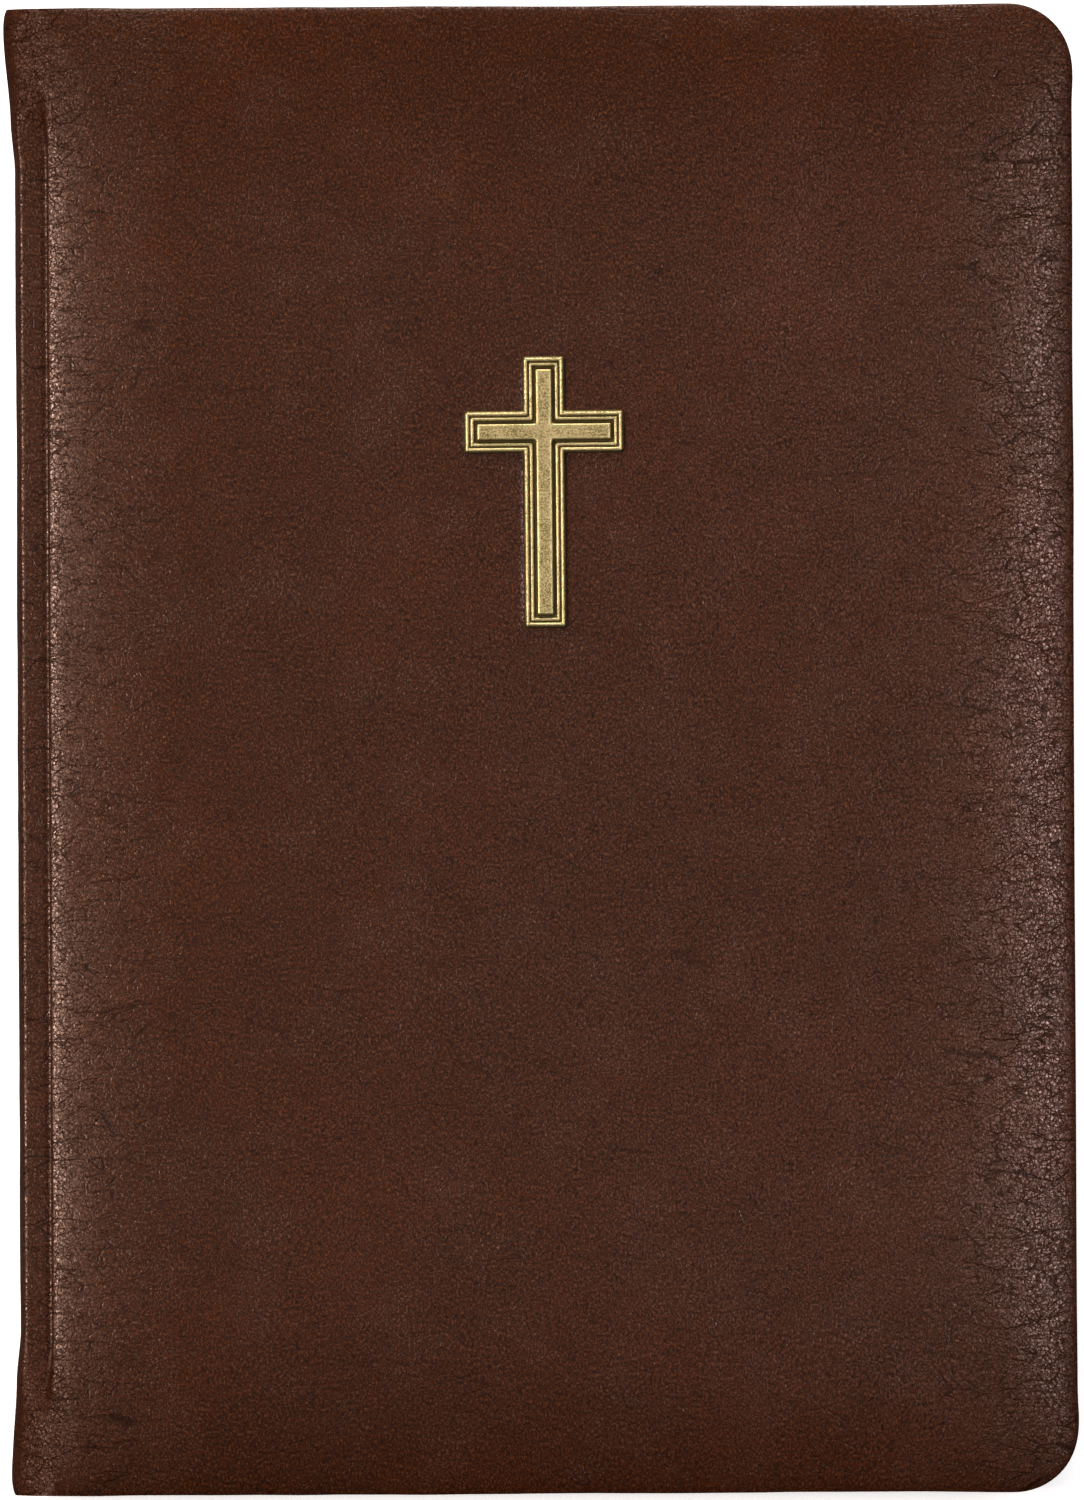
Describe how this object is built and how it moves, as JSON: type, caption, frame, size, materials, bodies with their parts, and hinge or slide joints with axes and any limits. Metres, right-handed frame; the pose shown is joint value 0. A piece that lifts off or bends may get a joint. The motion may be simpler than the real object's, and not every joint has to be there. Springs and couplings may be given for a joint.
{
  "type": "prayer book",
  "caption": "Closed padded-cover prayer book with a rounded spine, rounded fore-edge corners and a metal cross emblem set into the front cover; covers and leaves open.",
  "frame": {"origin": "under the middle of the closed book's bounding box, on the surface it lies on", "axes": "+X from the spine to the fore-edge, +Y from the tail to the head, +Z from the back cover up to the front cover"},
  "size_m": [0.1534, 0.216, 0.0258],
  "materials": {
    "leatherette": "padded imitation leather with a fine pebble grain, satin",
    "foam": "soft foam sheet",
    "grey_board": "grey board, matte",
    "gauze": "open woven gauze, matte",
    "kraft_paper": "brown kraft paper, matte",
    "endpaper": "plain cream endpaper, matte",
    "thread": "waxed linen thread",
    "band_cloth": "woven band, striped brown and cream",
    "antique_brass": "cast, antique finish with dark recesses, satin",
    "plain_brass": "plain, satin",
    "page_paper": "plain book paper, matte"
  },
  "bodies": {
    "spine": {"spine_skin": "leatherette", "spine_card": "grey_board", "spine_gauze": "gauze", "spine_liner": "kraft_paper", "spine_stitches": "thread", "headband": "band_cloth", "tailband": "band_cloth", "front_joint_skin": "leatherette", "back_joint_skin": "leatherette"},
    "front_cover": {"front_skin": "leatherette", "front_foam_pad": "foam", "front_board": "grey_board", "front_infill_card": "grey_board", "front_gauze_flap": "gauze", "front_pastedown": "endpaper", "cross_emblem": "antique_brass", "emblem_washers": "plain_brass"},
    "back_cover": {"back_skin": "leatherette", "back_foam_pad": "foam", "back_board": "grey_board", "back_infill_card": "grey_board", "back_gauze_flap": "gauze", "back_pastedown": "endpaper"},
    "front_flyleaf": {"front_flyleaf": "endpaper"},
    "back_flyleaf": {"back_flyleaf": "endpaper"},
    "section_01": {"section_01": "page_paper", "thread_01": "thread"},
    "section_02": {"section_02": "page_paper", "thread_02": "thread"},
    "section_03": {"section_03": "page_paper", "thread_03": "thread"},
    "section_04": {"section_04": "page_paper", "thread_04": "thread"},
    "section_05": {"section_05": "page_paper", "thread_05": "thread"},
    "section_06": {"section_06": "page_paper", "thread_06": "thread"},
    "section_07": {"section_07": "page_paper", "thread_07": "thread"},
    "section_08": {"section_08": "page_paper", "thread_08": "thread"},
    "section_09": {"section_09": "page_paper", "thread_09": "thread"},
    "section_10": {"section_10": "page_paper", "thread_10": "thread"}
  },
  "joints": [
    {"name": "front_cover_hinge", "type": "hinge", "parent": "spine", "child": "front_cover", "pos_m": [-0.07414, 0, 0.021], "axis": [0, -1, 0], "range_deg": [0, 180], "deforming": ["front_joint_skin"]},
    {"name": "front_flyleaf_fold", "type": "hinge", "parent": "spine", "child": "front_flyleaf", "pos_m": [-0.07414, 0, 0.021], "axis": [0, -1, 0], "range_deg": [0, 179.5]},
    {"name": "section_01_fold", "type": "hinge", "parent": "spine", "child": "section_01", "pos_m": [-0.07414, 0, 0.021], "axis": [0, -1, 0], "range_deg": [0, 178.7]},
    {"name": "section_02_fold", "type": "hinge", "parent": "spine", "child": "section_02", "pos_m": [-0.07414, 0, 0.021], "axis": [0, -1, 0], "range_deg": [0, 177.4]},
    {"name": "section_03_fold", "type": "hinge", "parent": "spine", "child": "section_03", "pos_m": [-0.07414, 0, 0.021], "axis": [0, -1, 0], "range_deg": [0, 176.2]},
    {"name": "section_04_fold", "type": "hinge", "parent": "spine", "child": "section_04", "pos_m": [-0.07414, 0, 0.021], "axis": [0, -1, 0], "range_deg": [0, 174.7]},
    {"name": "section_05_fold", "type": "hinge", "parent": "spine", "child": "section_05", "pos_m": [-0.07414, 0, 0.021], "axis": [0, -1, 0], "range_deg": [0, 173.3]},
    {"name": "back_cover_hinge", "type": "hinge", "parent": "spine", "child": "back_cover", "pos_m": [-0.07414, 0, 0.004], "axis": [0, 1, 0], "range_deg": [0, 180], "deforming": ["back_joint_skin"]},
    {"name": "back_flyleaf_fold", "type": "hinge", "parent": "spine", "child": "back_flyleaf", "pos_m": [-0.07414, 0, 0.004], "axis": [0, 1, 0], "range_deg": [0, 179.5]},
    {"name": "section_10_fold", "type": "hinge", "parent": "spine", "child": "section_10", "pos_m": [-0.07414, 0, 0.004], "axis": [0, 1, 0], "range_deg": [0, 178.7]},
    {"name": "section_09_fold", "type": "hinge", "parent": "spine", "child": "section_09", "pos_m": [-0.07414, 0, 0.004], "axis": [0, 1, 0], "range_deg": [0, 177.4]},
    {"name": "section_08_fold", "type": "hinge", "parent": "spine", "child": "section_08", "pos_m": [-0.07414, 0, 0.004], "axis": [0, 1, 0], "range_deg": [0, 176.2]},
    {"name": "section_07_fold", "type": "hinge", "parent": "spine", "child": "section_07", "pos_m": [-0.07414, 0, 0.004], "axis": [0, 1, 0], "range_deg": [0, 174.7]},
    {"name": "section_06_fold", "type": "hinge", "parent": "spine", "child": "section_06", "pos_m": [-0.07414, 0, 0.004], "axis": [0, 1, 0], "range_deg": [0, 173.3]}
  ],
  "couplings": [
    {"joint": "front_flyleaf_fold", "follows": "front_cover_hinge", "ratio": 0.995},
    {"joint": "section_01_fold", "follows": "front_cover_hinge", "ratio": 0.99},
    {"joint": "section_02_fold", "follows": "front_cover_hinge", "ratio": 0.983},
    {"joint": "section_03_fold", "follows": "front_cover_hinge", "ratio": 0.976},
    {"joint": "section_04_fold", "follows": "front_cover_hinge", "ratio": 0.968},
    {"joint": "section_05_fold", "follows": "front_cover_hinge", "ratio": 0.96},
    {"joint": "back_flyleaf_fold", "follows": "back_cover_hinge", "ratio": 0.995},
    {"joint": "section_10_fold", "follows": "back_cover_hinge", "ratio": 0.99},
    {"joint": "section_09_fold", "follows": "back_cover_hinge", "ratio": 0.983},
    {"joint": "section_08_fold", "follows": "back_cover_hinge", "ratio": 0.976},
    {"joint": "section_07_fold", "follows": "back_cover_hinge", "ratio": 0.968},
    {"joint": "section_06_fold", "follows": "back_cover_hinge", "ratio": 0.96}
  ]
}
